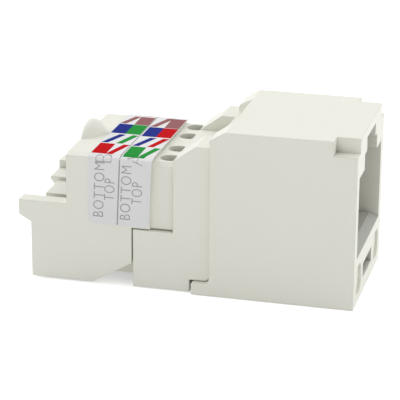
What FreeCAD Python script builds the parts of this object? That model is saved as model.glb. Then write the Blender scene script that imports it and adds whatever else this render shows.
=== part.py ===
import FreeCAD, Part
import math
import os

import Sketcher
from FreeCAD import Vector

# A snap-in jack module for structured cabling: a moulded front housing with an
# eight-way modular port, a contact sled with sprung wires, an upright circuit
# board, a terminal base with forked blades, and a wire cap that pushes on from
# behind. Frame: X across the width, centred; Y from the port face (Y = 0)
# towards the cable end; Z up from the underside (Z = 0). Millimetres.

doc = FreeCAD.newDocument("snap_in_jack")
sheet = doc.addObject("Spreadsheet::Sheet", "sizes")


class Dim:
    """A size as a number together with the expression that keeps it tied to the sheet."""

    def __init__(self, value, text):
        self.value = value
        self.text = text

    def join(self, other, sign, value):
        return Dim(value, "(" + self.text + " " + sign + " " + other.text + ")")

    def __add__(self, other):
        other = as_dim(other)
        return self.join(other, "+", self.value + other.value)

    def __sub__(self, other):
        other = as_dim(other)
        return self.join(other, "-", self.value - other.value)

    def __mul__(self, other):
        other = as_dim(other)
        return self.join(other, "*", self.value * other.value)

    def __truediv__(self, other):
        other = as_dim(other)
        return self.join(other, "/", self.value / other.value)

    def __neg__(self):
        return Dim(-self.value, "(0 - " + self.text + ")")


def as_dim(number):
    """Lets a plain number stand where a size is wanted."""
    if isinstance(number, Dim):
        return number
    return Dim(float(number), repr(float(number)))


row_count = 0


def size(alias, value, note):
    """Writes one driving dimension into the sheet and hands back its Dim."""
    global row_count
    row_count += 1
    sheet.set("A%d" % row_count, note)
    sheet.set("B%d" % row_count, str(value))
    sheet.setAlias("B%d" % row_count, alias)
    return Dim(float(value), "sizes." + alias)


# ---------------------------------------------------------------- sizes
# Front housing
side_wall = size("side_wall", 1.3, "side wall of the housing beside the port")
slot_cover = size("slot_cover", 0.9, "wall left over the port's narrow latch step")
housing_depth = size("housing_depth", 13.6, "port face to the rear edge of the side walls")
slope_run = size("slope_run", 1.45, "length of the sloped shoulders behind the top wall")
slope_drop = size("slope_drop", 0.9, "fall of the sloped shoulders behind the top wall")
shoulder_width = size("shoulder_width", 3.45, "width of a shoulder beside the channel, front")
channel_flare = size("channel_flare", 0.65, "how much wider the channel grows on each side rearwards")
channel_drop = size("channel_drop", 1.6, "depth of the channel below the top")
lip_reach = size("lip_reach", 1.7, "how far the bottom lip runs on past the side walls")
lip_height = size("lip_height", 1.25, "thickness of the bottom lip")
lip_fillet = size("lip_fillet", 0.5, "inside round where side wall meets lip")
edge_round = size("edge_round", 0.18, "break on the outer edges of the moulded parts")
notch_width = size("notch_width", 1.45, "panel notches at the two top front corners, across")
notch_depth = size("notch_depth", 2.2, "panel notches, front to back")
notch_height = size("notch_height", 1.4, "panel notches, down from the top")
port_width = size("port_width", 11.9, "plug port, width of the main opening")
port_floor = size("port_floor", 5.0, "underside to the floor of the port")
lead_in_drop = size("lead_in_drop", 0.4, "fall of the port floor at its very front")
lead_in_length = size("lead_in_length", 0.9, "length of that sloped lead-in")
port_height = size("port_height", 7.4, "plug port, height of the main opening")
key_width = size("key_width", 6.7, "wide latch step over the port")
key_height = size("key_height", 1.5, "height of the wide latch step")
slot_width = size("slot_width", 4.6, "narrow latch step over the port")
slot_height = size("slot_height", 1.3, "height of the narrow latch step")
bay_step = size("bay_step", 0.35, "how much wider the bay is than the port, each side")
sled_room = size("sled_room", 2.05, "room under the port's floor for the contact sled")
bay_rise = size("bay_rise", 1.5, "rise of the bay's roof over the port's roof")
sill = size("sill", 1.1, "wall left in front of the snap arm")
sled_front = size("sled_front", 3.2, "port face to the front of the sled's channel")
window_width = size("window_width", 4.7, "release window under the port, across")
window_low = size("window_low", 1.4, "underside to the window's lower edge")
window_high = size("window_high", 2.85, "underside to the window's upper edge")
window_depth = size("window_depth", 2.4, "depth of the window")
pocket_gap = size("pocket_gap", 1.0, "wall between the window and a face pocket")
pocket_width = size("pocket_width", 2.65, "width of a face pocket")
pocket_low = size("pocket_low", 0.8, "underside to the bottom of a face pocket")
pocket_high = size("pocket_high", 3.6, "underside to the top of a face pocket")
pocket_sink = size("pocket_sink", 0.25, "depth of a face pocket")
pocket_round = size("pocket_round", 0.95, "corner radius of a face pocket")

# Snap arm, moulded in one with the housing
arm_half = size("arm_half", 2.6, "half width of the snap arm")
arm_gap = size("arm_gap", 0.5, "slot each side of the snap arm and at its tip")
arm_thick = size("arm_thick", 1.05, "thickness of the snap arm")
arm_root_wall = size("arm_root_wall", 2.4, "solid floor behind the snap arm's root")
arm_room = size("arm_room", 0.9, "room above the arm for it to bend")
catch_start = size("catch_start", 2.3, "port face to the panel catch")
catch_length = size("catch_length", 1.3, "length of the panel catch")
catch_sink = size("catch_sink", 0.45, "depth of the panel catch")

# Contact sled and plug contacts
snug = size("snug", 0.1, "clearance between parts that stay together")
sled_floor = size("sled_floor", 0.5, "thickness of the sled's floor")
comb_depth = size("comb_depth", 2.2, "front to back size of the comb")
comb_slot_depth = size("comb_slot_depth", 1.6, "depth of the slots that guide the wire tips")
tip_play = size("tip_play", 1.6, "height of the comb slots over the tips of the contacts")
contact_pitch = size("contact_pitch", 1.02, "spacing of the plug contacts")
contact_width = size("contact_width", 0.4, "width of a plug contact")
contact_thick = size("contact_thick", 0.3, "thickness of a plug contact")
bend_back = size("bend_back", 0.7, "front of the sled's channel to the bend of a contact")
contact_rise = size("contact_rise", 1.1, "height of the upright part of the bend")
tip_reach = size("tip_reach", 1.0, "reach of a contact's tip into the comb, from the port's end")
contact_lift = size("contact_lift", 3.0, "rise of a contact's tip over the port's floor")
contact_bend = size("contact_bend", 0.45, "outside radius of a contact's bend")

# Circuit board
board_thick = size("board_thick", 1.6, "thickness of the circuit board")
board_gap = size("board_gap", 0.05, "space between comb and board")
board_back = size("board_back", 0.36, "room behind the board for solder and tails")
tail_out = size("tail_out", 0.2, "how far a contact's tail stands out behind the board")
tail_hole = size("tail_hole", 0.62, "plated hole for a contact tail")
pin_hole = size("pin_hole", 0.8, "plated hole for a terminal pin")

# Terminal base
base_inset = size("base_inset", 0.42, "step in from the housing's side to the base's side")
base_foot = size("base_foot", 0.1, "underside of the base above the housing's underside")
base_gap = size("base_gap", 0.06, "gap between the housing's rear edge and the base")
lip_gap = size("lip_gap", 0.28, "gap between the lip's end and the step that hooks behind it")
base_shelf = size("base_shelf", 3.85, "how far the lower half of the base runs on behind the upper")
split_rise = size("split_rise", 0.9, "lower blades to the shelf between the two halves")
base_length = size("base_length", 3.49, "front to back size of the base's upper half")
blade_cover = size("blade_cover", 3.0, "upper blades to the top of the ramp's foot")
ramp_rise = size("ramp_rise", 1.55, "rise of the ramps")
ramp_land = size("ramp_land", 1.36, "flat land in front of the ramps")
block_width = size("block_width", 3.63, "width of a ramp block")
tab_round = size("tab_round", 0.5, "round on the lower front corner of the base")
spigot_reach = size("spigot_reach", 0.35, "how far the base plugs into the housing's bay")

# Terminals
wire_spacing = size("wire_spacing", 2.85, "spacing of the two wires on each side")
wire_edge = size("wire_edge", 1.98, "base's side to the outer wire")
row_spacing = size("row_spacing", 4.9, "spacing of the two rows of blades")
row_lift = size("row_lift", 1.95, "floor of the bay to the lower row of blades")
blade_width = size("blade_width", 1.9, "width of a blade")
blade_thick = size("blade_thick", 0.4, "thickness of a blade")
blade_slit = size("blade_slit", 0.34, "slit that grips the wire")
blade_slit_depth = size("blade_slit_depth", 2.1, "length of the slit")
blade_out = size("blade_out", 2.75, "how far a blade stands out of the base")
blade_in = size("blade_in", 2.5, "how far a blade is held in the base")
blade_tip = size("blade_tip", 0.25, "lead-in at a blade's tip")
pin_width = size("pin_width", 0.5, "width of a terminal's board pin")
blade_fit = size("blade_fit", 0.05, "clearance of a blade in the base")

# Wire cap
running = size("running", 0.15, "clearance of the wire cap over base and blades")
cap_drop = size("cap_drop", 0.1, "step down from the ramp's foot to the cap's roof")
cap_length = size("cap_length", 10.2, "front to back size of the cap's upper half")
ledge_rise = size("ledge_rise", 1.8, "cap's shelf to the top of the cable rails")
cradle_length = size("cradle_length", 3.55, "length of the cable cradle behind the upper half")
rail_overhang = size("rail_overhang", 1.2, "how far the rails run on behind the cap's lower half")
rail_thick = size("rail_thick", 1.45, "height of a cable rail's end face")
rail_under = size("rail_under", 0.7, "rise of the rails' sloped underside")
rail_width = size("rail_width", 1.55, "width of a cable rail and of the cap's side walls")
cap_foot = size("cap_foot", 0.2, "underside of the cap above the housing's underside")
chin_length = size("chin_length", 3.8, "length of the sloped chin at the cap's lower front")
chin_height = size("chin_height", 2.2, "height of the sloped chin")
chin_core = size("chin_core", 1.05, "underside to the bottom of the cap's core at the chin")
recess_inset = size("recess_inset", 0.38, "step in from the cap's side to its narrower front strip")
recess_length = size("recess_length", 2.1, "front to back size of that strip")
recess_drop = size("recess_drop", 0.25, "step down from the cap's roof to that strip")
recess_bevel = size("recess_bevel", 0.38, "bevel along the strip's upper side edges")
shoulder_run = size("shoulder_run", 0.85, "shallow bevel along the cap's upper side edges, across")
shoulder_fall = size("shoulder_fall", 0.17, "shallow bevel along the cap's upper side edges, down")
roof_thick = size("roof_thick", 1.4, "thickness of the cap's roof")
front_block = size("front_block", 4.25, "front to back size of the upper wire block")
block_under = size("block_under", 2.4, "upper blades to the bottom of the upper wire block")
groove_width = size("groove_width", 1.7, "width of a wire groove")
groove_wall = size("groove_wall", 0.27, "thin wall that closes a wire groove at the front")
groove_depth = size("groove_depth", 1.6, "rear end of a wire groove behind the cap's front")
groove_neck = size("groove_neck", 0.5, "slit through that wall, where the wire is pressed in")
step_high_drop = size("step_high_drop", 0.8, "rail top to the far, high step of the cable cradle")
step_mid_drop = size("step_mid_drop", 1.15, "rail top to the middle step of the cradle")
step_low_drop = size("step_low_drop", 1.9, "rail top to the near, low step of the cradle")
step_far = size("step_far", 2.55, "centre line to the edge of the high step")
step_near = size("step_near", 1.35, "centre line to the edge of the low step")
step_end = size("step_end", 0.3, "height of the high step's end face")
step_end_run = size("step_end_run", 0.55, "length of the bevel under that face")
cradle_back = size("cradle_back", 0.8, "how far the lower steps stop short of the rails")
core_wall = size("core_wall", 1.2, "wall round the coring pockets in the cap's rear")
core_depth = size("core_depth", 5.2, "depth of the coring pockets")
pip_half = size("pip_half", 2.3, "half width of the ridged pip on the roof")
pip_height = size("pip_height", 1.32, "height of the pip above the roof")
pip_length = size("pip_length", 2.1, "length of the pip, forwards from the cap's rear")

# Wiring label
label_thick = size("label_thick", 0.12, "thickness of the wiring label")
label_overhang = size("label_overhang", 0.2, "how far the label's front edge hangs over the strip")
label_slant = size("label_slant", 0.3, "lean of the label's front edge over its side panel")
label_gap = size("label_gap", 0.1, "gap between the label and the pip")
label_lift = size("label_lift", 0.15, "label's lower edge above the cap's shelf")
label_margin = size("label_margin", 0.33, "label's far edge to the cap's far side")
label_fold = size("label_fold", 0.2, "outside radius of the label's fold")
label_corner = size("label_corner", 0.5, "corner radius at the label's lower edge")

doc.recompute()

# Places worked out from the sizes. Across the width, from the centre line
port_half = port_width / 2
side = port_half + side_wall
bay_half = port_half + bay_step
channel_half = side - shoulder_width
pocket_inner = window_width / 2 + pocket_gap
pocket_outer = pocket_inner + pocket_width
half = side - base_inset
block_inner = half - block_width
wire_outer = half - wire_edge
wire_inner = wire_outer - wire_spacing
wire_places = (-wire_outer, -wire_inner, wire_inner, wire_outer)
recess_half = half - recess_inset
label_far = half - label_margin

# Up from the underside
port_top = port_floor + port_height
bay_floor = port_floor - sled_room
bay_roof = port_top + bay_rise
top = port_top + key_height + slot_height + slot_cover
channel_floor = top - channel_drop
contact_tip_z = port_floor + contact_lift
comb_slot_top = contact_tip_z + tip_play
row_low = bay_floor + row_lift
row_high = row_low + row_spacing
base_split = row_low + split_rise
base_low_top = row_high + blade_cover
base_high_top = base_low_top + ramp_rise
cap_low = base_split + running
cap_top = base_low_top - cap_drop
cap_ledge = cap_low + ledge_rise
front_block_low = row_high - block_under
step_high = cap_ledge - step_high_drop
step_mid = cap_ledge - step_mid_drop
step_low = cap_ledge - step_low_drop
label_low = cap_low + label_lift

# Back from the port's face
top_depth = housing_depth - slope_run
lip_rear = housing_depth + lip_reach
arm_root = housing_depth - arm_root_wall
base_front = housing_depth + base_gap
spigot_front = base_front - spigot_reach
board_rear = spigot_front - board_back
board_front = board_rear - board_thick
comb_rear = board_front - board_gap
comb_front = comb_rear - comb_depth
port_depth = comb_front - snug
contact_front = sled_front + bend_back
contact_tip_y = port_depth + tip_reach
base_step = lip_rear + lip_gap
ramp_top = base_front + ramp_land
base_rear_high = base_front + base_length
base_rear_low = base_rear_high + base_shelf
cap_front_high = base_rear_high + snug
cap_front_low = base_rear_low + running
cap_rear_high = cap_front_high + cap_length
cap_rear_low = cap_rear_high + cradle_length
rail_rear = cap_rear_low + rail_overhang
recess_rear = cap_front_high + recess_length
label_front = recess_rear - label_overhang
label_rear = cap_rear_high - pip_length - label_gap


# ---------------------------------------------------------------- tools for bodies
def new_body(label):
    """A body placed so that the module's middle, front to back, lies on the frame's origin."""
    body = doc.addObject("PartDesign::Body", label)
    body.Label = label
    body.setExpression("Placement.Base.y", (-rail_rear / 2).text)
    return body


def origin_plane(body, role):
    for feature in body.Origin.OriginFeatures:
        if feature.Role == role:
            return feature
    raise ValueError(role)


def hold(sketch, geometry, position, x, y):
    """Fixes one sketch point from the origin by two sizes."""
    for kind, axis, dim in (("DistanceX", -2, x), ("DistanceY", -1, y)):
        dim = as_dim(dim)
        if dim.value == 0 and "sizes" not in dim.text:
            sketch.addConstraint(Sketcher.Constraint("PointOnObject", geometry, position, axis))
        else:
            index = sketch.addConstraint(
                Sketcher.Constraint(kind, -1, 1, geometry, position, dim.value))
            sketch.setExpression("Constraints[%d]" % index, dim.text)


def draw_outline(sketch, corners):
    """A closed outline of straight edges, each corner held by its two sizes."""
    first = sketch.GeometryCount
    count = len(corners)
    points = [Vector(as_dim(x).value, as_dim(y).value, 0) for x, y in corners]
    for i in range(count):
        sketch.addGeometry(Part.LineSegment(points[i], points[(i + 1) % count]))
    for i in range(count):
        after = first + (i + 1) % count
        sketch.addConstraint(Sketcher.Constraint("Coincident", first + i, 2, after, 1))
    for i in range(count):
        hold(sketch, first + i, 1, corners[i][0], corners[i][1])


def draw_circle(sketch, x, y, radius):
    """A circle held by its centre and radius."""
    place = Vector(as_dim(x).value, as_dim(y).value, 0)
    index = sketch.addGeometry(Part.Circle(place, Vector(0, 0, 1), radius.value))
    hold(sketch, index, 3, x, y)
    limit = sketch.addConstraint(Sketcher.Constraint("Radius", index, radius.value))
    sketch.setExpression("Constraints[%d]" % limit, radius.text)


def new_sketch(body, name, role, start):
    """A sketch on one of the body's own planes, moved along it to start."""
    sketch = body.newObject("Sketcher::SketchObject", name)
    sketch.AttachmentSupport = [(origin_plane(body, role), "")]
    sketch.MapMode = "FlatFace"
    start = as_dim(start)
    offset = -start if role == "XZ_Plane" else start
    sketch.setExpression("AttachmentOffset.Base.z", offset.text)
    return sketch


def extrude(body, name, kind, role, start, end, outlines, circles):
    """Pads or pockets a profile from start to end along the plane's axis (+X, +Y or +Z)."""
    start = as_dim(start)
    end = as_dim(end)
    sketch = new_sketch(body, name + "_profile", role, start)
    for corners in outlines:
        draw_outline(sketch, corners)
    for x, y, radius in circles:
        draw_circle(sketch, x, y, radius)
    before = body.Shape.Volume if body.Tip else 0.0
    feature = body.newObject("PartDesign::" + kind, name)
    feature.Profile = (sketch, [""])
    feature.setExpression("Length", (end - start).text)
    along = role != "XZ_Plane"
    feature.Reversed = (not along) if kind == "Pad" else along
    sketch.Visibility = False
    doc.recompute()
    grown = feature.Shape.Volume - before
    if (kind == "Pad") != (grown > 0) or grown == 0:
        raise ValueError(body.Label + ": " + name + " changes nothing")
    return feature


def pad(body, name, role, start, end, *outlines):
    return extrude(body, name, "Pad", role, start, end, outlines, ())


def pocket(body, name, role, start, end, *outlines):
    return extrude(body, name, "Pocket", role, start, end, outlines, ())


def drill(body, name, role, start, end, *circles):
    return extrude(body, name, "Pocket", role, start, end, (), circles)


def rect(x0, y0, x1, y1):
    return [(x0, y0), (x1, y0), (x1, y1), (x0, y1)]


def both_sides(corners):
    """The outline and its mirror image across the centre line."""
    mirrored = [(-as_dim(x), y) for x, y in corners]
    mirrored.reverse()
    return corners, mirrored


def near(a, b):
    return abs(a - as_dim(b).value) < 1e-4


def is_line(edge):
    return edge.Curve.TypeId == "Part::GeomLine"


def runs_along(edge, axis):
    """True for a straight edge parallel to the given row axis."""
    if not is_line(edge):
        return False
    direction = edge.Vertexes[-1].Point - edge.Vertexes[0].Point
    return edge.Length > 1e-6 and abs(abs(direction[axis]) - edge.Length) < 1e-6


def round_edges(body, name, radius, test, kind="Fillet"):
    """Rounds (or bevels) the edges of the body's tip that pass the test."""
    base = body.Tip
    names = ["Edge%d" % (i + 1) for i, edge in enumerate(base.Shape.Edges) if test(edge)]
    if not names:
        raise ValueError(body.Label + ": no edges for " + name)
    feature = body.newObject("PartDesign::" + kind, name)
    feature.Base = (base, names)
    feature.setExpression("Radius" if kind == "Fillet" else "Size", radius.text)
    doc.recompute()
    return feature


def middle(edge):
    return edge.CenterOfMass


X, Y, Z = 0, 1, 2


# ---------------------------------------------------------------- front housing
def make_front_housing():
    body = new_body("front_housing")
    pad(body, "shell", "YZ_Plane", -side, side,
        [(0, 0), (lip_rear, 0), (lip_rear, lip_height), (housing_depth, lip_height),
         (housing_depth, top - slope_drop), (top_depth, top), (0, top)])
    wide = channel_half + channel_flare
    pocket(body, "shoulder_channel", "XY_Plane", channel_floor, top + 1,
           [(-channel_half, top_depth), (channel_half, top_depth), (wide, housing_depth),
            (wide, housing_depth + 1), (-wide, housing_depth + 1), (-wide, housing_depth)])
    notch_inner = side - notch_width
    pocket(body, "panel_notches", "XZ_Plane", 0, notch_depth,
           *both_sides(rect(notch_inner, top - notch_height, side + 1, top + 1)))
    step_top = port_top + key_height
    slot_top = step_top + slot_height
    pocket(body, "plug_port", "XZ_Plane", 0, comb_front,
           [(-port_half, port_floor), (port_half, port_floor), (port_half, port_top),
            (key_width / 2, port_top), (key_width / 2, step_top), (slot_width / 2, step_top),
            (slot_width / 2, slot_top), (-slot_width / 2, slot_top), (-slot_width / 2, step_top),
            (-key_width / 2, step_top), (-key_width / 2, port_top), (-port_half, port_top)])
    pocket(body, "port_lead_in", "YZ_Plane", -port_half, port_half,
           [(0, port_floor - lead_in_drop), (lead_in_length, port_floor),
            (lead_in_length, port_floor + 0.1), (0, port_floor + 0.1)])
    pocket(body, "sled_channel", "XZ_Plane", sled_front, comb_front,
           rect(-port_half, bay_floor, port_half, port_floor + 0.2))
    pocket(body, "rear_bay", "XZ_Plane", port_depth, housing_depth + 1,
           rect(-bay_half, bay_floor, bay_half, bay_roof))
    pocket(body, "face_pockets", "XZ_Plane", 0, pocket_sink,
           *both_sides(rect(pocket_inner, pocket_low, pocket_outer, pocket_high)))
    round_edges(body, "face_pocket_rounds", pocket_round, face_pocket_corner)
    pocket(body, "release_window", "XZ_Plane", 0, window_depth,
           rect(-window_width / 2, window_low, window_width / 2, window_high))
    cut_snap_arm(body)
    round_edges(body, "lip_inside_round", lip_fillet,
                lambda e: runs_along(e, X) and near(middle(e).y, housing_depth)
                and near(middle(e).z, lip_height))
    round_edges(body, "outer_edge_break", edge_round, housing_outer_edge)
    return body


def face_pocket_corner(edge):
    """The four short corner edges of each shallow pocket in the port face."""
    where = middle(edge)
    across = near(abs(where.x), pocket_inner) or near(abs(where.x), pocket_outer)
    up = near(where.z, pocket_low) or near(where.z, pocket_high)
    return runs_along(edge, Y) and across and up


def housing_outer_edge(edge):
    """The long outside edges that run front to back, and the lip's rear edge."""
    where = middle(edge)
    outside = near(abs(where.x), side)
    lengthways = runs_along(edge, Y) and outside and edge.Length > notch_depth.value + 0.5
    lip_end = runs_along(edge, X) and near(where.y, lip_rear)
    return (lengthways and not near(where.z, lip_height)) or lip_end


def cut_snap_arm(body):
    """Frees a flexible arm in the underside, with room above it and a panel catch."""
    arm_top = arm_thick
    slot_outer = arm_half + arm_gap
    arm_tip = sill + arm_gap
    pocket(body, "arm_room", "XZ_Plane", sill, arm_root,
           rect(-slot_outer, arm_top, slot_outer, arm_top + arm_room))
    pocket(body, "arm_slots", "XY_Plane", 0, arm_top,
           [(-slot_outer, sill), (slot_outer, sill), (slot_outer, arm_root),
            (arm_half, arm_root), (arm_half, arm_tip), (-arm_half, arm_tip),
            (-arm_half, arm_root), (-slot_outer, arm_root)])
    pocket(body, "panel_catch", "XY_Plane", 0, catch_sink,
           rect(-arm_half - 0.1, catch_start, arm_half + 0.1, catch_start + catch_length))


# ---------------------------------------------------------------- contact sled
def comb_place(index):
    """Centre of one of the eight contact places."""
    return contact_pitch * (index - 3.5)


def make_contact_sled():
    body = new_body("contact_sled")
    floor_half = port_half - snug
    comb_half = bay_half - snug
    floor_top = bay_floor + sled_floor
    pad(body, "comb", "XZ_Plane", comb_front, comb_rear,
        rect(-comb_half, bay_floor, comb_half, bay_roof - snug))
    pad(body, "floor", "XZ_Plane", sled_front + snug, comb_front + 0.5,
        rect(-floor_half, bay_floor, floor_half, floor_top))
    slot_half = contact_width / 2 + 0.1
    tails = []
    slots = []
    for index in range(8):
        x = comb_place(index)
        tails.append(rect(x - slot_half, floor_top, x + slot_half, floor_top + contact_thick + 0.2))
        slots.append(rect(x - slot_half, floor_top + contact_thick, x + slot_half, comb_slot_top))
    pocket(body, "tail_passages", "XZ_Plane", comb_front, comb_rear, *tails)
    pocket(body, "tip_slots", "XZ_Plane", comb_front, comb_front + comb_slot_depth, *slots)
    rib_top = floor_top + contact_thick + 0.1
    rib_half = contact_pitch / 2 - contact_width / 2 - 0.12
    ribs = []
    for index in range(7):
        x = comb_place(index) + contact_pitch / 2
        ribs.append(rect(x - rib_half, floor_top - 0.1, x + rib_half, rib_top))
    pad(body, "floor_ribs", "XZ_Plane", sled_front + 0.4, comb_front + 0.2, *ribs)
    return body


# ---------------------------------------------------------------- plug contacts
def make_plug_contact(number):
    """One sprung wire: a tail through the board, a bend at the front, a rising leg."""
    body = new_body("plug_contact_%d" % (number + 1))
    x = comb_place(number)
    low = bay_floor + sled_floor + 0.05
    tail_rear = board_rear + tail_out
    front = contact_front
    thick = contact_thick
    inner = front + thick
    rise = low + contact_rise
    pad(body, "strip", "YZ_Plane", x - contact_width / 2, x + contact_width / 2,
        [(tail_rear, low), (front, low), (front, rise), (contact_tip_y, contact_tip_z),
         (contact_tip_y, contact_tip_z - thick), (inner, rise - thick * 0.7),
         (inner, low + thick), (tail_rear, low + thick)])
    round_edges(body, "bend", contact_bend,
                lambda e: runs_along(e, X) and near(middle(e).y, front))
    return body


# ---------------------------------------------------------------- circuit board
def make_circuit_board():
    body = new_body("circuit_board")
    board_half = bay_half - snug
    pad(body, "laminate", "XZ_Plane", board_front, board_rear,
        rect(-board_half, bay_floor + snug, board_half, bay_roof - snug))
    tail_height = bay_floor + sled_floor + 0.05 + contact_thick / 2
    holes = [(comb_place(i), tail_height, tail_hole / 2) for i in range(8)]
    for row in (row_high, row_low):
        for x in wire_places:
            holes.append((x, row, pin_hole / 2))
    drill(body, "plated_holes", "XZ_Plane", board_front, board_rear, *holes)
    return body


# ---------------------------------------------------------------- terminal base
def make_idc_base():
    body = new_body("idc_base")
    front = base_front
    lip_clear = lip_height + base_foot
    pad(body, "block", "YZ_Plane", -half, half,
        [(front, lip_clear), (base_step, lip_clear), (base_step, base_foot),
         (base_rear_low, base_foot), (base_rear_low, base_split), (base_rear_high, base_split),
         (base_rear_high, base_low_top), (ramp_top, base_high_top), (front, base_high_top)])
    pocket(body, "centre_channel", "YZ_Plane", -block_inner, block_inner,
           [(front - 1, base_low_top), (base_rear_high + 1, base_low_top),
            (base_rear_high + 1, top), (front - 1, top)])
    spigot_half = bay_half - snug * 1.5
    pad(body, "spigot", "XZ_Plane", spigot_front, front + 0.5,
        rect(-spigot_half, bay_floor + snug, spigot_half, base_low_top - 0.3))
    pad(body, "bay_closing_wall", "XZ_Plane", spigot_front, front,
        rect(-spigot_half, base_low_top - 1, spigot_half, bay_roof - snug))
    round_edges(body, "tab_round", tab_round,
                lambda e: runs_along(e, X) and near(middle(e).y, front)
                and near(middle(e).z, lip_clear))
    cut_terminal_slots(body)
    round_edges(body, "outer_edge_break", edge_round, base_outer_edge)
    return body


def base_outer_edge(edge):
    """The base's long lower side edges and the outer edges of its ramps."""
    where = middle(edge)
    outside = near(abs(where.x), half)
    return runs_along(edge, Y) and outside and near(where.z, base_foot)


def cut_terminal_slots(body):
    """Through slots for the pins and wider seats for the blades, in both rows."""
    for name, row, rear in (("upper", row_high, base_rear_high), ("lower", row_low, base_rear_low)):
        pin_half = pin_width / 2 + blade_fit
        seat_half = blade_width / 2 + blade_fit
        thick_half = blade_thick / 2 + blade_fit
        pins = [rect(x - pin_half, row - thick_half, x + pin_half, row + thick_half)
                for x in wire_places]
        seats = [rect(x - seat_half, row - thick_half, x + seat_half, row + thick_half)
                 for x in wire_places]
        pocket(body, name + "_pin_slots", "XZ_Plane", spigot_front, rear - blade_in, *pins)
        pocket(body, name + "_blade_seats", "XZ_Plane", rear - blade_in, rear, *seats)


def make_idc_terminal(number, row, rear, x):
    """A flat forked blade with a narrow pin that runs forward into the board."""
    body = new_body("idc_terminal_%d" % number)
    shoulder = rear - blade_in + blade_fit
    tip = rear + blade_out
    slit_end = tip - blade_slit_depth
    pin_front = board_front + 0.05
    wide = blade_width / 2
    narrow = pin_width / 2
    slit = blade_slit / 2
    mouth = slit + blade_tip
    pad(body, "fork", "XY_Plane", row - blade_thick / 2, row + blade_thick / 2,
        [(x - narrow, pin_front), (x + narrow, pin_front), (x + narrow, shoulder),
         (x + wide, shoulder), (x + wide, tip - blade_tip), (x + wide - blade_tip, tip),
         (x + mouth, tip), (x + slit, tip - blade_tip * 1.4), (x + slit, slit_end),
         (x - slit, slit_end), (x - slit, tip - blade_tip * 1.4), (x - mouth, tip),
         (x - wide + blade_tip, tip), (x - wide, tip - blade_tip), (x - wide, shoulder),
         (x - narrow, shoulder)])
    return body


# ---------------------------------------------------------------- wire cap
def make_wire_cap():
    body = new_body("wire_cap")
    chin_rear = cap_front_low + chin_length
    rail_low = cap_ledge - rail_thick
    pad(body, "block", "YZ_Plane", -half, half,
        [(cap_front_high, cap_low), (cap_front_high, cap_top), (cap_rear_high, cap_top),
         (cap_rear_high, cap_ledge), (rail_rear, cap_ledge), (rail_rear, rail_low),
         (cap_rear_low, rail_low - rail_under), (cap_rear_low, cap_foot), (chin_rear, cap_foot),
         (cap_front_low, cap_foot + chin_height), (cap_front_low, cap_low)])
    inner = half - rail_width
    core_half = inner + 0.5
    pad(body, "chin_core", "YZ_Plane", -core_half, core_half,
        rect(cap_front_low, chin_core, chin_rear, cap_foot + chin_height))
    cut_top_edges(body)
    cut_cable_way(body, inner)
    cut_cradle(body, inner)
    cut_wire_grooves(body)
    add_pip(body)
    cut_coring(body, inner)
    return body


def cut_top_edges(body):
    """A shallow bevel along the upper side edges, and a narrower, bevelled strip in front."""
    edge = half - shoulder_run
    pocket(body, "shoulder_bevels", "XZ_Plane", cap_front_high - 0.01, cap_rear_high + 0.01,
           *both_sides([(edge, cap_top), (half, cap_top - shoulder_fall),
                        (half + 0.1, cap_top - shoulder_fall), (half + 0.1, cap_top + 1),
                        (edge, cap_top + 1)]))
    shoulder = recess_half - recess_bevel
    strip_top = cap_top - recess_drop
    pocket(body, "front_strip", "XZ_Plane", cap_front_high - 0.01, recess_rear,
           [(-shoulder, strip_top), (shoulder, strip_top), (recess_half, strip_top - recess_bevel),
            (recess_half, cap_low), (half + 0.1, cap_low), (half + 0.1, cap_top + 1),
            (-half - 0.1, cap_top + 1), (-half - 0.1, cap_low), (-recess_half, cap_low),
            (-recess_half, strip_top - recess_bevel)])


def cut_cable_way(body, inner):
    """The passage that the cable's pairs come through, open at the rear and below the block."""
    block_rear = cap_front_high + front_block
    pocket(body, "cable_way", "XZ_Plane", block_rear, cap_rear_high + 0.01,
           rect(-inner, cap_low, inner, cap_top - roof_thick))
    pocket(body, "way_under_block", "XZ_Plane", cap_front_high, block_rear + 0.01,
           rect(-inner, cap_low - 0.01, inner, front_block_low))


def cut_cradle(body, inner):
    """Steps the ledge down between the rails in three levels, the lowest on the near side."""
    pocket(body, "cradle_steps", "XZ_Plane", cap_rear_high - 0.01, rail_rear + 1,
           [(-inner, step_low), (-step_near, step_low), (-step_near, step_mid),
            (step_far, step_mid), (step_far, step_high), (inner, step_high),
            (inner, cap_ledge + 0.01), (-inner, cap_ledge + 0.01)])
    pocket(body, "cradle_back", "XZ_Plane", rail_rear - cradle_back, rail_rear + 1,
           rect(-inner, cap_ledge - rail_thick - rail_under - 0.4, step_far, step_mid + 0.01))
    face_low = step_high - step_end
    run_start = rail_rear - step_end_run
    under = cap_ledge - rail_thick - rail_under * step_end_run / rail_overhang
    pocket(body, "step_end_bevel", "YZ_Plane", step_far, inner,
           [(run_start, under), (rail_rear, face_low), (rail_rear + 1, face_low),
            (rail_rear + 1, under - 1), (run_start, under - 1)])


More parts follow.
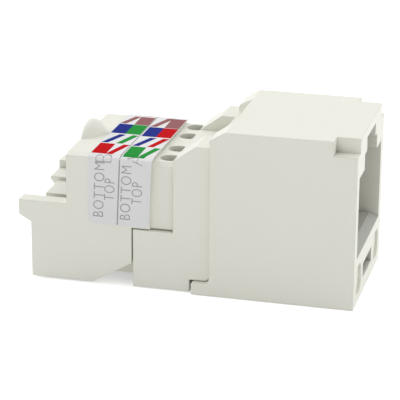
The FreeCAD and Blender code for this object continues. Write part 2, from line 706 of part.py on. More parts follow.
def cut_wire_grooves(body):
    """Round-ended grooves that hold the wires behind a thin slit wall, and the blades' slits."""
    groove_half = groove_width / 2
    straight = groove_depth - groove_half
    neck_half = groove_neck / 2
    slit_half = blade_width / 2 + running
    thick_half = blade_thick / 2 + running
    for name, front, low, high, row in (
            ("upper", cap_front_high, front_block_low - 0.01, cap_top + 1, row_high),
            ("lower", cap_front_low, cap_foot - 0.5, cap_low + 0.01, row_low)):
        grooves = [rect(x - groove_half, front + groove_wall, x + groove_half,
                        front + straight) for x in wire_places]
        ends = [(x, front + straight, groove_half) for x in wire_places]
        necks = [rect(x - neck_half, front - 0.01, x + neck_half, front + groove_wall + 0.01)
                 for x in wire_places]
        slits = [rect(x - slit_half, row - thick_half, x + slit_half, row + thick_half)
                 for x in wire_places]
        pocket(body, name + "_grooves", "XY_Plane", low, high, *grooves)
        drill(body, name + "_groove_ends", "XY_Plane", low, high, *ends)
        pocket(body, name + "_groove_necks", "XY_Plane", low, high, *necks)
        pocket(body, name + "_blade_slits", "XZ_Plane", front - 0.01, front + blade_out + running,
               *slits)


def draw_hump(sketch, foot, base, rise):
    """A half-round hump: a level line of half width foot and one arc of height rise over it."""
    line = sketch.addGeometry(Part.LineSegment(
        Vector(-foot.value, base.value, 0), Vector(foot.value, base.value, 0)))
    arc = sketch.addGeometry(Part.Arc(
        Vector(foot.value, base.value, 0), Vector(0, base.value + rise.value, 0),
        Vector(-foot.value, base.value, 0)))
    sketch.addConstraint(Sketcher.Constraint("Coincident", line, 2, arc, 1))
    sketch.addConstraint(Sketcher.Constraint("Coincident", arc, 2, line, 1))
    hold(sketch, line, 1, -foot, base)
    hold(sketch, line, 2, foot, base)
    radius = (foot * foot + rise * rise) / (rise * 2)
    limit = sketch.addConstraint(Sketcher.Constraint("Radius", arc, radius.value))
    sketch.setExpression("Constraints[%d]" % limit, radius.text)


def add_pip(body):
    """A rounded pip on the roof's rear edge, pointed towards the front, that parts the pairs."""
    root = cap_top - 0.05
    stations = ((0, 1, 0.9), (0.22, 0.96, 1), (0.45, 0.78, 0.88), (1, 0.1, 0.12))
    sections = []
    for index, (along, wide, tall) in enumerate(stations):
        sketch = new_sketch(body, "pip_section_%d" % index, "XZ_Plane",
                            cap_rear_high - pip_length * along)
        draw_hump(sketch, pip_half * wide, root, pip_height * tall + 0.05)
        sketch.Visibility = False
        sections.append(sketch)
    pip = body.newObject("PartDesign::AdditiveLoft", "pip")
    pip.Profile = (sections[0], [""])
    pip.Sections = [(sketch, [""]) for sketch in sections[1:]]
    doc.recompute()


def cut_coring(body, inner):
    """Moulding pockets in the lower half's rear wall, with a web between them."""
    high = step_low - core_wall
    pocket(body, "coring", "XZ_Plane", cap_rear_low - core_depth, cap_rear_low,
           *both_sides(rect(core_wall / 2, cap_foot + core_wall, inner, high)))


# ---------------------------------------------------------------- wiring label
def make_wiring_label():
    """A label folded over the cap's near top edge, lying on the roof and the side wall."""
    body = new_body("wiring_label")
    outer = half + label_thick
    height = cap_top + label_thick
    fold = cap_top - shoulder_fall
    edge = half - shoulder_run
    far_under = cap_top - shoulder_fall * (label_far - edge) / shoulder_run
    pad(body, "sheet", "XZ_Plane", label_front, label_rear,
        [(-outer, label_low), (-half, label_low), (-half, fold), (-edge, cap_top),
         (edge, cap_top), (label_far, far_under), (label_far, far_under + label_thick),
         (edge, height), (-edge, height), (-outer, fold + label_thick)])
    front_low = label_front + label_slant
    pocket(body, "slanted_front", "YZ_Plane", -outer, -half + 0.01,
           [(label_front, fold), (front_low, label_low), (front_low, label_low - 0.5),
            (label_front - 0.5, label_low - 0.5), (label_front - 0.5, fold)])
    round_edges(body, "fold", label_fold,
                lambda e: runs_along(e, Y) and near(middle(e).x, -outer)
                and near(middle(e).z, fold + label_thick))
    round_edges(body, "lower_corners", label_corner,
                lambda e: runs_along(e, X) and near(middle(e).z, label_low)
                and (near(middle(e).y, front_low) or near(middle(e).y, label_rear)))
    return body


# ---------------------------------------------------------------- assembly
parts = [make_front_housing(), make_contact_sled(), make_circuit_board(), make_idc_base(),
         make_wire_cap(), make_wiring_label()]
for index in range(8):
    parts.append(make_plug_contact(index))
for index in range(4):
    parts.append(make_idc_terminal(index + 1, row_high, base_rear_high, wire_places[index]))
for index in range(4):
    parts.append(make_idc_terminal(index + 5, row_low, base_rear_low, wire_places[index]))

doc.recompute()
for item in doc.Objects:
    if "Invalid" in item.State or "Error" in item.State:
        raise ValueError("failed feature: " + item.Label)
for part in parts:
    if part.Shape.isNull() or not part.Shape.isValid() or len(part.Shape.Solids) != 1:
        raise ValueError("bad shape: " + part.Label)

os.makedirs("parts", exist_ok=True)
for part in parts:
    part.Shape.exportStep("parts/" + part.Label + ".step")
    box = part.Shape.BoundBox
    print("%-16s volume %9.3f  x %.2f..%.2f  y %.2f..%.2f  z %.2f..%.2f" % (
        part.Label, part.Shape.Volume, box.XMin, box.XMax, box.YMin, box.YMax, box.ZMin, box.ZMax))
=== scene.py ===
# %% [markdown]
# # A snap-in network jack
#
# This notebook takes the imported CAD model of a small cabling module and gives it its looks.
# The real thing is a handful of moulded plastic parts with sprung contacts inside and a
# printed label folded over one edge. The CAD holds every shape and size. Here the mouldings
# get their softened edges and their plastic, the metal gets its plating, and the label gets
# its print. The first step loads the model, in metres, with each piece already in place.

# %% Load the model
import math
import bpy
from mathutils import Matrix, Vector


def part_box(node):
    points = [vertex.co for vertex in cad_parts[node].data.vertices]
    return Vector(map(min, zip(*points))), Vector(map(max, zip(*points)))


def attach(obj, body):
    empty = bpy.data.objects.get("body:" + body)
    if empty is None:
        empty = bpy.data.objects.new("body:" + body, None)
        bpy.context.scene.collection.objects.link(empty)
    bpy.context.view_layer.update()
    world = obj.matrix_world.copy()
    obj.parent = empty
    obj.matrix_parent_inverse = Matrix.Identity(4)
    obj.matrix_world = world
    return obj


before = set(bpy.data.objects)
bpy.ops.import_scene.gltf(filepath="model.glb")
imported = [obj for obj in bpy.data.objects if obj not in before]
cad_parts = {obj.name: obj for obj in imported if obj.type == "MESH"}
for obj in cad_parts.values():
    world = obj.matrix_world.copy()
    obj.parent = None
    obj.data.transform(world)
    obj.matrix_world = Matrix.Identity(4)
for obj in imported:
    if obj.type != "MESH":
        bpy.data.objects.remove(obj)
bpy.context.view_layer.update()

# %% [markdown]
# ## Units and places
#
# Sizes below are written in millimetres and multiplied by MM. The places of new pieces are
# counted from the boxes of the CAD nodes, so that the print lands on the label wherever the
# label is, and the lip in the port's mouth wherever the housing is.

# %% Units and the boxes that places come from
MM = 0.001
label_low, label_high = (Vector(corner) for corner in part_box("wiring_label"))
housing_low = Vector(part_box("front_housing")[0])
print("label box, mm:", [round(c * 1000, 2) for c in label_low],
      [round(c * 1000, 2) for c in label_high])

# %% [markdown]
# ## Colours and nodes
#
# A colour is written as the sRGB hex value that a paint or print shop would give, and one
# function turns it into the linear numbers that the shader works with. A second small
# function adds a node to a material with its settings and its links in one call.

# %% Colour and node helpers
def linear(hex_code):
    """The linear colour for an sRGB hex value such as #ECECE1."""
    channels = [int(hex_code[i:i + 2], 16) / 255 for i in (1, 3, 5)]
    return tuple(c / 12.92 if c <= 0.04045 else ((c + 0.055) / 1.055) ** 2.4
                 for c in channels) + (1.0,)


def add_node(tree, kind, inputs=None, **settings):
    """Adds one node; inputs are socket values or links, settings are its properties."""
    node = tree.nodes.new(kind)
    for name, value in settings.items():
        setattr(node, name, value)
    for name, value in (inputs or {}).items():
        if isinstance(value, bpy.types.NodeSocket):
            tree.links.new(value, node.inputs[name])
        else:
            node.inputs[name].default_value = value
    return node


def new_material(name):
    """An empty node material with its shader and output joined."""
    material = bpy.data.materials.new(name)
    material.use_nodes = True
    material.node_tree.nodes.clear()
    shader = add_node(material.node_tree, "ShaderNodeBsdfPrincipled")
    add_node(material.node_tree, "ShaderNodeOutputMaterial", {"Surface": shader.outputs[0]})
    return material, shader


print("warm white as linear:", [round(c, 3) for c in linear("#ECECE1")])

# %% [markdown]
# ## Moulded polycarbonate
#
# The housing, the terminal base and the cap are injection moulded in a warm white
# polycarbonate. The steel mould was spark eroded, which leaves a very fine matt grain, and
# the thick plastic shows a faint unevenness in tone. Both are noise on Object coordinates,
# so the grain has one real size on every piece. The true grain is about 0.03 mm; it is
# drawn at 0.12 mm so that it shows at all. A Bevel node rounds the moulding's sharp edges
# in the shading, as a real mould never gives a perfectly sharp corner. Deep corners and
# recesses get painted shade: an Ambient Occlusion node leans the colour towards a darker
# one where the piece's own walls close in.

# %% Polycarbonate, spark-eroded matt
CLOUD = 6 * MM              # patches of slightly different tone
GRAIN = 0.12 * MM           # grain of the mould, drawn coarse
GRAIN_HEIGHT = 0.01 * MM
WALL_REACH = 15 * MM        # how far off a wall the painted shade still reaches
DEEP, OPEN = 0.08, 0.5      # openness at which the painted shade is full, and gone
POLYCARBONATE_IOR = 1.585


def matt_polycarbonate(name, hex_light, hex_dark, hex_painted_shade, roughness, edge):
    """Moulded polycarbonate: soft sheen, fine grain, edges soft by so many mm, painted shade in
    hollows.
    """
    material, shader = new_material(name)
    tree = material.node_tree
    place = add_node(tree, "ShaderNodeTexCoord").outputs["Object"]
    cloud = add_node(tree, "ShaderNodeTexNoise",
                     {"Vector": place, "Scale": 1 / CLOUD, "Detail": 2.0})
    tone = add_node(tree, "ShaderNodeMix", {0: cloud.outputs[0]}, data_type="RGBA")
    tone.inputs[6].default_value = linear(hex_dark)
    tone.inputs[7].default_value = linear(hex_light)
    # Painted shade: the colour is darkened towards a shade colour where the AO node finds the
    # piece's own walls close by.
    openness = add_node(tree, "ShaderNodeAmbientOcclusion", {"Distance": WALL_REACH},
                        samples=8, only_local=True)
    spread = add_node(tree, "ShaderNodeMapRange",
                      {0: openness.outputs["AO"], 1: DEEP, 2: OPEN})
    painted_shade = add_node(tree, "ShaderNodeMix", {0: spread.outputs[0]}, data_type="RGBA")
    painted_shade.inputs[6].default_value = linear(hex_painted_shade)
    tree.links.new(tone.outputs[2], painted_shade.inputs[7])
    tree.links.new(painted_shade.outputs[2], shader.inputs["Base Color"])
    grain = add_node(tree, "ShaderNodeTexNoise",
                     {"Vector": place, "Scale": 1 / GRAIN, "Detail": 3.0})
    soft_edge = add_node(tree, "ShaderNodeBevel", {"Radius": edge * MM}, samples=6)
    bump = add_node(tree, "ShaderNodeBump",
                    {"Height": grain.outputs[0], "Strength": 0.12, "Distance": GRAIN_HEIGHT,
                     "Normal": soft_edge.outputs[0]})
    tree.links.new(bump.outputs[0], shader.inputs["Normal"])
    shader.inputs["Roughness"].default_value = roughness
    shader.inputs["IOR"].default_value = POLYCARBONATE_IOR
    return material


# The third colour of each plastic is the painted shade of its corners and recesses.
warm_white = matt_polycarbonate("polycarbonate_warm_white", "#EDEDE3", "#EAEADF",
                                hex_painted_shade="#8E8E86", roughness=0.55, edge=0.09)
sled_grey = matt_polycarbonate("polycarbonate_sled_grey", "#ABABA3", "#A6A69E",
                               hex_painted_shade="#84847C", roughness=0.55, edge=0.05)
lip_grey = matt_polycarbonate("polycarbonate_lip_grey", "#BCBDB5", "#B8B9B0",
                              hex_painted_shade="#84847C", roughness=0.55, edge=0.05)
print("plastics:", warm_white.name, sled_grey.name, lip_grey.name)

# %% [markdown]
# ## Metal and laminate
#
# The plug contacts are phosphor bronze wire, plated with gold over nickel: bright, with
# faint drawing marks along the wire. The terminals are stamped from bronze sheet and plated
# with tin, which is greyer and more satin. The board is glass-fibre laminate under green
# solder mask, with the weave of the glass, 0.4 mm between threads, just showing.

# %% Gold plate, tin plate and laminate
MARK_WIDTH = 0.04 * MM
MARK_LENGTH = 1.5 * MM
WEAVE = 0.4 * MM


def plated_bronze(name, hex_code, roughness, marks):
    """Plated metal; fine marks along Y, as it was drawn, vary its roughness up and down."""
    material, shader = new_material(name)
    tree = material.node_tree
    place = add_node(tree, "ShaderNodeTexCoord").outputs["Object"]
    scale = (1 / MARK_WIDTH, 1 / MARK_LENGTH, 1 / MARK_WIDTH)
    stretched = add_node(tree, "ShaderNodeMapping", {"Vector": place, "Scale": scale})
    streaks = add_node(tree, "ShaderNodeTexNoise", {"Vector": stretched.outputs[0], "Scale": 1.0})
    spread = add_node(tree, "ShaderNodeMapRange",
                      {0: streaks.outputs[0], 3: roughness - marks, 4: roughness + marks})
    tree.links.new(spread.outputs[0], shader.inputs["Roughness"])
    shader.inputs["Base Color"].default_value = linear(hex_code)
    shader.inputs["Metallic"].default_value = 1.0
    return material


def board_laminate(name):
    """Green solder mask over woven glass fibre."""
    material, shader = new_material(name)
    tree = material.node_tree
    place = add_node(tree, "ShaderNodeTexCoord").outputs["Object"]
    weave = add_node(tree, "ShaderNodeTexChecker", {"Vector": place, "Scale": 1 / WEAVE})
    weave.inputs["Color1"].default_value = linear("#1F6B3C")
    weave.inputs["Color2"].default_value = linear("#237244")
    tree.links.new(weave.outputs[0], shader.inputs["Base Color"])
    shader.inputs["Roughness"].default_value = 0.3
    shader.inputs["IOR"].default_value = 1.5
    return material


gold_plate = plated_bronze("gold_plated_bronze", "#F0CF7A", roughness=0.22, marks=0.08)
tin_plate = plated_bronze("tin_plated_bronze", "#D8D8D6", roughness=0.35, marks=0.1)
laminate = board_laminate("glass_fibre_laminate")
print("metals:", gold_plate.name, tin_plate.name)

# %% [markdown]
# ## Label film and inks
#
# The label is a white polyester film with a matt top coat. The inks lie on it as flat
# fields, a shade more matt than the film, and their colours are the ones that wiring codes
# use: white, blue, green, red and brown. The words are in a thin grey line. A matt coat
# mirrors next to nothing, so the specular level is very low, and the colours stay full when
# the label is seen at a shallow angle.

# %% Film and inks
MOTTLE = 0.3 * MM
MOTTLE_RANGE = 0.05         # how far the mottle takes the roughness up and down
POLYESTER_IOR = 1.45
MATT_SPECULAR = 0.02
INK_ROUGHNESS = 0.65


def coated_film(name, hex_code, roughness):
    """Printed or bare polyester film, with a faint mottle as such coatings have."""
    material, shader = new_material(name)
    tree = material.node_tree
    place = add_node(tree, "ShaderNodeTexCoord").outputs["Object"]
    mottle = add_node(tree, "ShaderNodeTexNoise",
                      {"Vector": place, "Scale": 1 / MOTTLE, "Detail": 2.0})
    spread = add_node(tree, "ShaderNodeMapRange",
                      {0: mottle.outputs[0], 3: roughness - MOTTLE_RANGE,
                       4: roughness + MOTTLE_RANGE})
    tree.links.new(spread.outputs[0], shader.inputs["Roughness"])
    shader.inputs["Base Color"].default_value = linear(hex_code)
    shader.inputs["IOR"].default_value = POLYESTER_IOR
    shader.inputs["Specular IOR Level"].default_value = MATT_SPECULAR
    return material


film_white = coated_film("polyester_film_white", "#E9E9EA", 0.6)
inks = {"red": coated_film("ink_red", "#C61018", INK_ROUGHNESS),
        "green": coated_film("ink_green", "#2B9540", INK_ROUGHNESS),
        "blue": coated_film("ink_blue", "#28348A", INK_ROUGHNESS),
        "brown": coated_film("ink_brown", "#9A6769", INK_ROUGHNESS),
        "grey": coated_film("ink_grey", "#A0A0A1", INK_ROUGHNESS)}
print("inks:", sorted(inks))

# %% [markdown]
# ## Dressing the CAD nodes
#
# Each CAD node gets its material through its own slots. Nothing is moved or reshaped.

# %% Give each node its material
def node_material(name):
    """The material that a CAD node's piece is made of."""
    if name.startswith("plug_contact"):
        return gold_plate
    if name.startswith("idc_terminal"):
        return tin_plate
    special = {"contact_sled": sled_grey, "circuit_board": laminate, "wiring_label": film_white}
    return special.get(name, warm_white)


for name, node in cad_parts.items():
    material = node_material(name)
    if not node.material_slots:
        node.data.materials.append(material)
    for slot in node.material_slots:
        slot.material = material
print("dressed:", len(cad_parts), "nodes")

# %% [markdown]
# ## Pieces made by hand
#
# Blender's tools act on whatever is selected, so each new piece starts with nothing
# selected. A thin skin or a mark of ink starts as a plane above the surface that it belongs
# to. A Shrinkwrap modifier lays it on that surface, and Solidify gives it its thickness.
# When a piece is finished, its place goes into its mesh, it gets its material, and it is
# told which part of the module it moves with: the module itself, or the cap, which slides
# off to the rear.

# %% Helpers for pieces made by hand
ABOVE = 1 * MM              # height of a plane above its surface before it is laid on it


def nothing_selected():
    """Leaves object mode with nothing selected, so the next operator acts on new work only."""
    if bpy.context.object and bpy.context.object.mode != "OBJECT":
        bpy.ops.object.mode_set(mode="OBJECT")
    bpy.ops.object.select_all(action="DESELECT")


def lay_on(piece, surface, rise, thickness):
    """Lays a plane on the surface below it, its face raised by rise, and gives it thickness."""
    lay = piece.modifiers.new("lay", "SHRINKWRAP")
    lay.target = surface
    lay.wrap_method = "PROJECT"
    lay.use_project_z = True
    lay.use_negative_direction = True
    lay.use_positive_direction = False
    lay.offset = rise
    bpy.ops.object.modifier_apply(modifier="lay")
    thick = piece.modifiers.new("thick", "SOLIDIFY")
    thick.thickness = thickness
    thick.offset = -1.0
    bpy.ops.object.modifier_apply(modifier="thick")


def settle(piece, body, material):
    """Puts the piece's place in its mesh, gives it its material and lets it ride."""
    nothing_selected()
    piece.select_set(True)
    bpy.context.view_layer.objects.active = piece
    bpy.ops.object.transform_apply(location=True, rotation=True, scale=True)
    piece.data.materials.clear()
    piece.data.materials.append(material)
    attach(piece, body)


# %% [markdown]
# ## The lip in the port's mouth
#
# The port's floor and the slope that leads a plug in over it are greyer than the housing,
# like the sled behind them. A thin skin carries that colour: a plane at its size, cut where
# the slope meets the floor, and laid on the housing. It starts just above the floor, inside
# the port, so that it is laid on the floor and not on the roof.

# %% The grey lip
LIP_WIDTH = 11.86 * MM      # the port, less a hair's breadth on both sides
LIP_DEPTH = 3.18 * MM
LIP_SKIN = 0.03 * MM
LIP_BACK = 0.01 * MM        # it starts this far behind the port's face
LEAD_IN = 0.9 * MM          # length of the slope
PORT_FLOOR = 5.0 * MM       # height of the port's floor over the underside
nothing_selected()
bpy.ops.mesh.primitive_plane_add(
    size=1.0, location=(0, housing_low.y + LIP_BACK + LIP_DEPTH / 2,
                        housing_low.z + PORT_FLOOR + ABOVE))
lip = bpy.context.object
lip.name = "port_lip"
lip.scale = (LIP_WIDTH, LIP_DEPTH, 1.0)
bpy.ops.object.transform_apply(location=True, rotation=True, scale=True)
bpy.ops.object.mode_set(mode="EDIT")
bpy.ops.mesh.select_all(action="SELECT")
bpy.ops.mesh.bisect(plane_co=(0, housing_low.y + LEAD_IN, 0), plane_no=(0, 1, 0))
bpy.ops.object.mode_set(mode="OBJECT")
lay_on(lip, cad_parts["front_housing"], LIP_SKIN / 2, LIP_SKIN)
settle(lip, "module", lip_grey)
print("lip, mm:", [round(c / MM, 2) for c in lip.dimensions])

# %% [markdown]
# ## A printed mark on the label's top
#
# Ink has next to no thickness, but a separate mesh keeps its edges crisp at any distance,
# where a picture would blur. Each mark is a plane that is added at its size; its far edge
# is slid towards the front for a slanting bar. The label bends down a little at both sides,
# so the plane is cut where each bend starts before it is laid on the label. The ink is about
# 0.015 mm thick and slightly sunk into the film.

# %% A mark of ink
INK_RISE = 0.012 * MM       # top of the ink over the film
INK_DEPTH = 1.3 * INK_RISE
near_bend = label_low.x + 0.97 * MM
far_bend = label_high.x - 0.52 * MM


def ink_field(name, near_x, far_x, rear_y, front_y, slide, ink):
    """One printed mark on the label's top; slide moves its far edge towards the front."""
    nothing_selected()
    middle = ((near_x + far_x) / 2, (rear_y + front_y) / 2, label_high.z + ABOVE)
    bpy.ops.mesh.primitive_plane_add(size=1.0, location=middle)
    piece = bpy.context.object
    piece.name = name
    piece.scale = (far_x - near_x, rear_y - front_y, 1.0)
    bpy.ops.object.transform_apply(location=True, rotation=True, scale=True)
    for vertex in piece.data.vertices:
        vertex.select = vertex.co.x > middle[0]
    for edge in piece.data.edges:
        edge.select = all(piece.data.vertices[i].select for i in edge.vertices)
    for face in piece.data.polygons:
        face.select = False
    bpy.ops.object.mode_set(mode="EDIT")
    bpy.ops.transform.translate(value=(0, -slide, 0))
    for bend in (near_bend, far_bend):
        bpy.ops.mesh.select_all(action="SELECT")
        bpy.ops.mesh.bisect(plane_co=(bend, 0, 0), plane_no=(1, 0, 0))
    bpy.ops.object.mode_set(mode="OBJECT")
    lay_on(piece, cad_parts["wiring_label"], INK_RISE, INK_DEPTH)
    settle(piece, "cap", inks[ink])


print("ink is", round(INK_DEPTH / MM, 4), "mm thick")

# %% [markdown]
# ## The label's colour code
#
# The print shows which wire goes into which groove. A solid field is a plain coloured wire
# and a slanting bar on white is its striped partner. There are two wiring schemes, one in
# the front column and one in the rear, each with four rows of two marks, of which the rear
# one is called left here. The front column was printed 0.3 mm nearer to the fold. A slanting
# bar runs from corner to corner of its cell, and a left one runs on into the next cell by
# LEAN. A table of names is all that a loop needs.

# %% The two columns of colour fields
row_edges = [label_low.x + x * MM for x in (0.75, 3.67, 6.97, 10.03, 13.0)]
bar_inset = [x * MM for x in (0.0, 0.25, 0.0, 0.08)]    # bare film before a row's bars
row_gap = [x * MM for x in (0.0, 0.32, 0.12, 0.0)]      # bare film behind a row's marks
CELL = 1.43 * MM            # width of a mark
BAR = 0.6 * MM              # width of a slanting bar
LEAN = 0.15 * MM
columns = {"rear": (label_low.y + 3.13 * MM, 0.0),      # its start, and its shift
           "front": (label_low.y + 0.02 * MM, -0.3 * MM)}
code = {
    "rear": [("red", "red_bar"), ("blue_bar", "green_bar"), ("blue", "green"),
             ("brown_bar", "brown")],
    "front": [("green", "green_bar"), ("blue_bar", "red_bar"), ("blue", "red"),
              ("brown_bar", "brown")]}
marks = 0
for column, rows in code.items():
    start, shift = columns[column]
    for row, pair in enumerate(rows):
        for place, mark in enumerate(pair):
            front = start + CELL * (1 - place)
            rear = front + CELL
            near_x = row_edges[row] + shift
            far_x = row_edges[row + 1] + shift - row_gap[row]
            ink = mark.split("_")[0]
            name = "code_%s_%d_%s" % (column, row + 1, "left" if place == 0 else "right")
            if mark.endswith("_bar"):
                near_x += bar_inset[row]
                slide = CELL - BAR + (LEAN if place == 0 else 0.0)
                ink_field(name, near_x, far_x, rear, rear - BAR, slide, ink)
            else:
                ink_field(name, near_x, far_x, rear, front, 0.0, ink)
            marks += 1
print("marks on the label's top:", marks)

# %% [markdown]
# ## The fold that the print wraps over
#
# The label is folded over the cap's edge, and the line and the letters cross the fold. Each
# is laid out flat at first, as if the label stood straight up, and then bent round the
# fold's radius of 0.2 mm. The label was folded a little askew, so below the fold the print
# drifts backwards. Before it is bent, a piece is cut at the fold's lines, because a mesh
# can only bend where it has vertices.

# %% Bend a flat print round the fold
FOLD_RADIUS = 0.2 * MM
DRIFT = 0.045               # drift backwards for each mm down
SAME_PLACE = 0.0001 * MM    # points this close are one point
CUTS = 3                    # parts that the bend is cut into
slope = math.atan(0.2)      # of the label between its near bend and the fold
turn_of_fold = math.pi / 2 - slope
corner_z = label_high.z - 0.17 * MM     # where side and slope would meet in a sharp corner
fold_z = corner_z - FOLD_RADIUS * math.tan(turn_of_fold / 2)
fold_length = FOLD_RADIUS * turn_of_fold


def wrapped(point):
    """The place on the folded label of a point on the flat one, which stands at label_low.x."""
    lift = label_low.x - point.x
    past = point.z - fold_z
    if past <= 0:
        return Vector((point.x, point.y - past * DRIFT, point.z))
    angle = min(past, fold_length) / FOLD_RADIUS
    reach = FOLD_RADIUS + lift
    beyond = max(0.0, past - fold_length)
    inwards = FOLD_RADIUS - reach * math.cos(angle) + beyond * math.cos(slope)
    upwards = reach * math.sin(angle) + beyond * math.sin(slope)
    return Vector((label_low.x + inwards, point.y, fold_z + upwards))


def wrap_over_fold(piece, end_z):
    """Cuts a flat print at the fold's lines, drops what is above end_z and wraps the rest."""
    nothing_selected()
    piece.select_set(True)
    bpy.context.view_layer.objects.active = piece
    bpy.ops.object.mode_set(mode="EDIT")
    bpy.ops.mesh.select_all(action="SELECT")
    bpy.ops.mesh.remove_doubles(threshold=SAME_PLACE)
    for cut in range(CUTS + 1):
        cut_z = fold_z + fold_length * cut / CUTS
        bpy.ops.mesh.select_all(action="SELECT")
        bpy.ops.mesh.bisect(plane_co=(0, 0, cut_z), plane_no=(0, 0, 1))
    bpy.ops.mesh.select_all(action="SELECT")
    bpy.ops.mesh.bisect(plane_co=(0, 0, end_z), plane_no=(0, 0, 1), clear_outer=True,
                        use_fill=True)
    bpy.ops.object.mode_set(mode="OBJECT")
    for vertex in piece.data.vertices:
        vertex.co = wrapped(vertex.co)
    piece.data.update()


print("the fold starts at, mm:", round(fold_z / MM, 2), "and is", round(fold_length / MM, 2),
      "long")

# %% [markdown]
# ## The dividing line
#
# A fine grey line parts the two wiring schemes. Its top half lies on the flat of the label
# as a mark like the others, and its side half is a thin bar that runs over the fold.

# %% The dividing line
LINE = 0.1 * MM
line_y = (label_low.y + label_high.y) / 2
ink_field("label_line_top", near_bend, far_bend, line_y + LINE / 2, line_y - LINE / 2, 0.0,
          "grey")
nothing_selected()
line_low = label_low.z + LINE / 2
to_bend = (near_bend - label_low.x - FOLD_RADIUS) / math.cos(slope)
line_high = fold_z + fold_length + to_bend
bpy.ops.mesh.primitive_cube_add(
    size=1.0, location=(label_low.x - INK_RISE / 2, line_y, (line_low + line_high) / 2))
line_side = bpy.context.object
line_side.name = "label_line_side"
line_side.scale = (INK_DEPTH, LINE, line_high - line_low)
bpy.ops.object.transform_apply(location=True, rotation=True, scale=True)
wrap_over_fold(line_side, line_high)
settle(line_side, "cap", inks["grey"])
print("the line is", round((line_high - line_low) / MM, 1), "mm long from its foot to the bend")

# %% [markdown]
# ## The words on the side
#
# The words only say which wires go to the top and the bottom terminals, and a letter names
# each scheme, as ON and OFF would on a switch. They are text objects, thinned by a negative
# offset because the print is a single fine line, made into meshes, and fitted to the
# height and length that the print has. They read upwards.

# %% The words on the side
LETTER_SPACE = 1.15
CURVE_STEPS = 5


def side_word(name, text, low_z, high_z, feet_y, letter_height, end_z, thinning):
    """A word that reads upwards on the label's side and may run over the fold to end_z."""
    nothing_selected()
    bpy.ops.object.text_add(location=(0, 0, 0))
    piece = bpy.context.object
    piece.name = name
    piece.data.body = text
    piece.data.size = 1.0
    piece.data.space_character = LETTER_SPACE
    piece.data.offset = -thinning
    piece.data.extrude = 0.5
    piece.data.resolution_u = CURVE_STEPS
    bpy.ops.object.convert(target="MESH")
    piece = bpy.context.object
    corners = [vertex.co for vertex in piece.data.vertices]
    left, right = min(c.x for c in corners), max(c.x for c in corners)
    foot, head = min(c.y for c in corners), max(c.y for c in corners)
    fit = Matrix.Diagonal(((high_z - low_z) / (right - left), letter_height / (head - foot),
                           INK_DEPTH, 1.0))
    upright = Matrix(((0, 0, -1, 0), (0, 1, 0, 0), (1, 0, 0, 0), (0, 0, 0, 1)))
    place = Matrix.Translation((label_low.x - INK_RISE / 2, feet_y, low_z))
    piece.data.transform(place @ upright @ fit @ Matrix.Translation((-left, -foot, 0)))
    wrap_over_fold(piece, end_z)
    settle(piece, "cap", inks["grey"])
    print(name, "is", [round(c * 1000, 2) for c in piece.dimensions], "mm")


WORD_HEIGHT, LETTER_HEIGHT = 0.98 * MM, 1.5 * MM
WORD_THINNING, LETTER_THINNING = 0.018, 0.032
# name, text, where it starts and ends over the label's foot, where the feet of its letters
# stand behind the label's front, and where it is cut off; all in mm
words = [("word_bottom_rear", "BOTTOM", 0.72, 6.05, 4.45, 6.3),
         ("word_bottom_front", "BOTTOM", 0.65, 5.9, 1.85, 6.3),
         ("word_top_rear", "TOP", 2.4, 4.52, 3.44, 6.3),
         ("word_top_front", "TOP", 2.25, 4.4, 0.78, 6.3)]
letters = [("letter_rear", "B", 6.1, 7.1, 3.85, 7.2),
           ("letter_front", "A", 6.02, 7.3, 0.85, 6.9)]
for table, height, thinning in ((words, WORD_HEIGHT, WORD_THINNING),
                                (letters, LETTER_HEIGHT, LETTER_THINNING)):
    for name, text, low, high, feet, end in table:
        low_z, high_z, end_z = (label_low.z + z * MM for z in (low, high, end))
        side_word(name, text, low_z, high_z, label_low.y + feet * MM, height, end_z, thinning)

# %% [markdown]
# ## Floor
#
# The module stands on plain white paper, as in a product picture, and the paper throws some
# of the sky's light back on its sides. The floor shows pure white to the camera and to
# glossy metal, and a soft shadow stays on it. Light Path tells the material who looks, so
# that none of this extra white falls on the object.

# %% Floor
FLOOR_SIDE = 4.0            # metres, far past what the camera sees
FLOOR_GAP = 0.02 * MM       # so that floor and underside don't share a plane
FLOOR_GLOW = 0.47
nothing_selected()
bpy.ops.mesh.primitive_plane_add(size=FLOOR_SIDE, location=(0, 0, -FLOOR_GAP))
floor = bpy.context.object
floor.name = "studio_floor"
floor_material, floor_shader = new_material("white_studio_paper")
floor_tree = floor_material.node_tree
floor_shader.inputs["Base Color"].default_value = linear("#FCFCFC")
floor_shader.inputs["Roughness"].default_value = 1.0
floor_shader.inputs["Specular IOR Level"].default_value = 0.0
rays = add_node(floor_tree, "ShaderNodeLightPath")
seen = add_node(floor_tree, "ShaderNodeMath",
                {0: rays.outputs["Is Camera Ray"], 1: rays.outputs["Is Glossy Ray"]},
                operation="MAXIMUM")
glow = add_node(floor_tree, "ShaderNodeMath", {0: seen.outputs[0], 1: FLOOR_GLOW},
                operation="MULTIPLY")
floor_shader.inputs["Emission Color"].default_value = (1, 1, 1, 1)
floor_tree.links.new(glow.outputs[0], floor_shader.inputs["Emission Strength"])
floor.data.materials.append(floor_material)
print("floor:", floor.name)

# %% [markdown]
# ## Sky
#
# A broad soft sky is the main light, as in a white tent. It is a little brighter from above
# and from the far side, which keeps the near side a shade darker than the top. A dot
# product with the direction gives that lean without any picture.

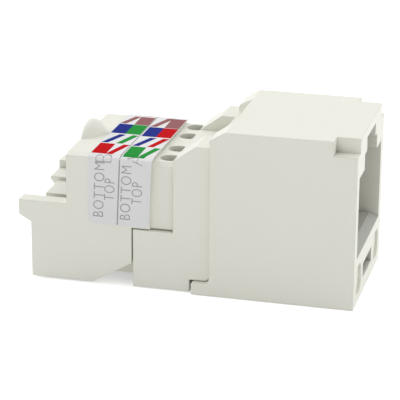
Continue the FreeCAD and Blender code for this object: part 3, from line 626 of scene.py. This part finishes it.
# %% Sky
SKY_LEVEL = 0.69
SKY_LEAN = (0.27, -0.06, 0.27)      # how much brighter along X, Y and Z
world = bpy.data.worlds.new("studio_sky")
bpy.context.scene.world = world
world.use_nodes = True
sky = world.node_tree
sky.nodes.clear()
direction = add_node(sky, "ShaderNodeTexCoord").outputs["Generated"]
lean = add_node(sky, "ShaderNodeVectorMath", {0: direction, 1: SKY_LEAN},
                operation="DOT_PRODUCT")
level = add_node(sky, "ShaderNodeMath", {0: lean.outputs["Value"], 1: SKY_LEVEL},
                 operation="ADD")
soft_sky = add_node(sky, "ShaderNodeBackground", {"Strength": level.outputs[0]})
white_sky = add_node(sky, "ShaderNodeBackground", {"Strength": 1.0})
for background in (soft_sky, white_sky):
    background.inputs["Color"].default_value = (1, 1, 1, 1)
sky_rays = add_node(sky, "ShaderNodeLightPath")
shown = add_node(sky, "ShaderNodeMath",
                 {0: sky_rays.outputs["Is Camera Ray"],
                  1: sky_rays.outputs["Is Transmission Ray"]},
                 operation="MAXIMUM")
both = add_node(sky, "ShaderNodeMixShader",
                {0: shown.outputs[0], 1: soft_sky.outputs[0], 2: white_sky.outputs[0]})
add_node(sky, "ShaderNodeOutputWorld", {"Surface": both.outputs[0]})
print("sky nodes:", len(sky.nodes))

# %% [markdown]
# ## Two large lamps
#
# A large soft sun from behind lifts the sloped shoulders and ramps, and a weak one from the
# front brightens the port's face without reaching the port's side walls. Suns light every
# side by angle alone, so their strength doesn't depend on where the module stands.

# %% Sun from behind and fill from the front
LAMP_HEIGHT = 0.3           # metres; a sun lights the same from anywhere


def soft_sun(name, strength, spread, direction):
    """A sun lamp whose disc is spread degrees wide, shining from the given direction."""
    nothing_selected()
    bpy.ops.object.light_add(type="SUN", location=(0, 0, LAMP_HEIGHT))
    lamp = bpy.context.object
    lamp.name = name
    lamp.data.energy = strength
    lamp.data.angle = math.radians(spread)
    lamp.rotation_euler = Vector(direction).to_track_quat("Z", "Y").to_euler()
    print(name, "at strength", strength)


soft_sun("rear_sun", strength=0.95, spread=40, direction=(0.15, 0.9, 0.42))
soft_sun("front_fill", strength=0.42, spread=50, direction=(0.3, -0.95, 0.08))

# %% [markdown]
# ## Camera
#
# The camera stands far off with a long lens, so that the small module keeps its
# proportions. It looks at the near side from a little in front of it and above.

# %% Camera
AZIMUTH, ELEVATION = math.radians(-75.66), math.radians(19.62)
ROLL = 0.0058
DISTANCE = 183.34 * MM
aim = Vector((0, 0.21, 6.8)) * MM
turn = (Matrix.Rotation(AZIMUTH, 4, "Z") @ Matrix.Rotation(math.pi / 2 - ELEVATION, 4, "X")
        @ Matrix.Rotation(ROLL, 4, "Z"))
backwards = turn.col[2].to_3d()
camera = bpy.data.objects.new("camera", bpy.data.cameras.new("camera"))
bpy.context.scene.collection.objects.link(camera)
camera.matrix_world = Matrix.Translation(aim + backwards * DISTANCE) @ turn
camera.data.sensor_width = 36.0
camera.data.lens = 172.6
camera.data.clip_start = 10 * MM
bpy.context.scene.camera = camera
bpy.context.scene.view_settings.view_transform = "Standard"
print("camera at, mm:", [round(c * 1000, 1) for c in camera.location])
